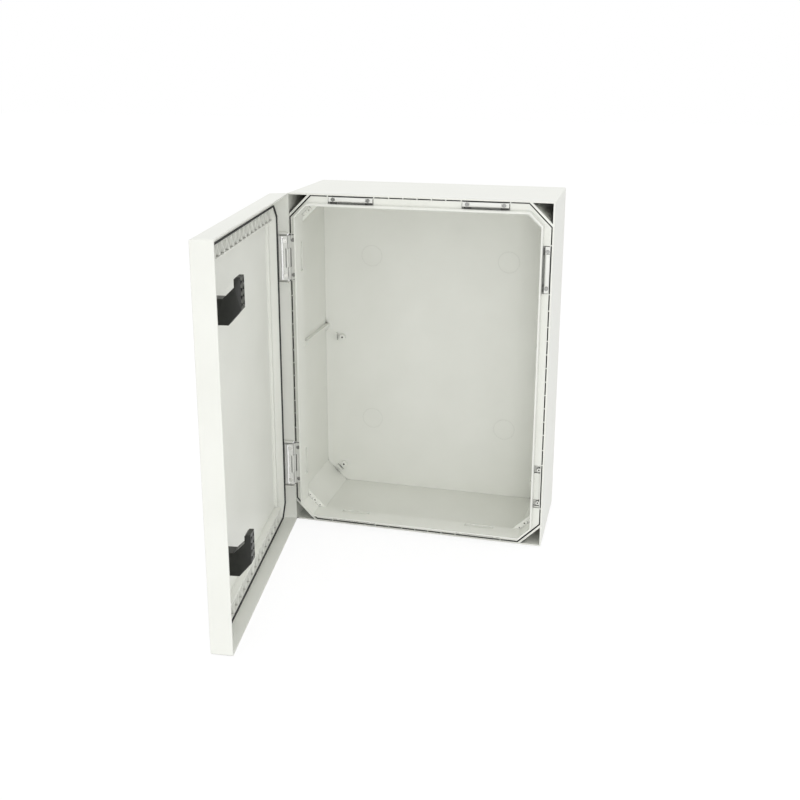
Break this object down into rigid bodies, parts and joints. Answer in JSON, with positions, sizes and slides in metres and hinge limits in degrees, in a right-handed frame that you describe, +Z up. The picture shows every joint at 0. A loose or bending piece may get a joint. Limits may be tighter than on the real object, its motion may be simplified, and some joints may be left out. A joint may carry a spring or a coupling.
{
  "type": "roadside utility cabinet",
  "caption": "Moulded plastic utility cabinet for a wall or post, with a hinged door, a gasket on an octagonal sealing line, a ribbed rim and quarter-turn cranked latches.",
  "frame": {"origin": "middle of the body's base, on the surface it stands on", "axes": "+X to the right seen from the front, +Y from the mouth to the back wall, +Z up"},
  "size_m": [0.6398, 0.8534, 0.8],
  "materials": {
    "shell": "fine moulded texture",
    "fitting": "smooth moulded",
    "gasket": "matt foam rubber",
    "latch": "glass-filled nylon",
    "lock": "satin die-cast zinc",
    "screw": "zinc plated",
    "pin": "drawn steel"
  },
  "bodies": {
    "cabinet": {"cabinet_body": "shell", "strike_top_left": "fitting", "strike_top_right": "fitting", "strike_side_upper": "fitting", "strike_screws": "screw", "hinge_screws_body": "screw", "hinge_leaf_body_lower": "fitting", "hinge_leaf_body_upper": "fitting", "hinge_pin_lower": "pin", "hinge_pin_upper": "pin"},
    "door": {"door_shell": "shell", "door_gasket": "gasket", "hinge_screws_door": "screw", "hinge_leaf_door_lower": "fitting", "hinge_leaf_door_upper": "fitting", "lock_barrel_lower": "lock", "lock_barrel_upper": "lock", "lock_nut_lower": "lock", "lock_nut_upper": "lock"},
    "latch_lower": {"lock_core_lower": "lock", "latch_arm_lower": "latch", "latch_screw_lower": "screw"},
    "latch_upper": {"lock_core_upper": "lock", "latch_arm_upper": "latch", "latch_screw_upper": "screw"}
  },
  "joints": [
    {"name": "door_hinge", "type": "hinge", "parent": "cabinet", "child": "door", "pos_m": [-0.2977, -0.1303, 0.4], "axis": [0, 0, 1], "range_deg": [-27.9, 82.1]},
    {"name": "latch_turn_lower", "type": "hinge", "parent": "door", "child": "latch_lower", "pos_m": [-0.25354, -0.64279, 0.15], "axis": [0.9905, 0.1374, 0], "range_deg": [0, 90]},
    {"name": "latch_turn_upper", "type": "hinge", "parent": "door", "child": "latch_upper", "pos_m": [-0.25354, -0.64279, 0.65], "axis": [0.9905, 0.1374, 0], "range_deg": [0, 90]}
  ]
}
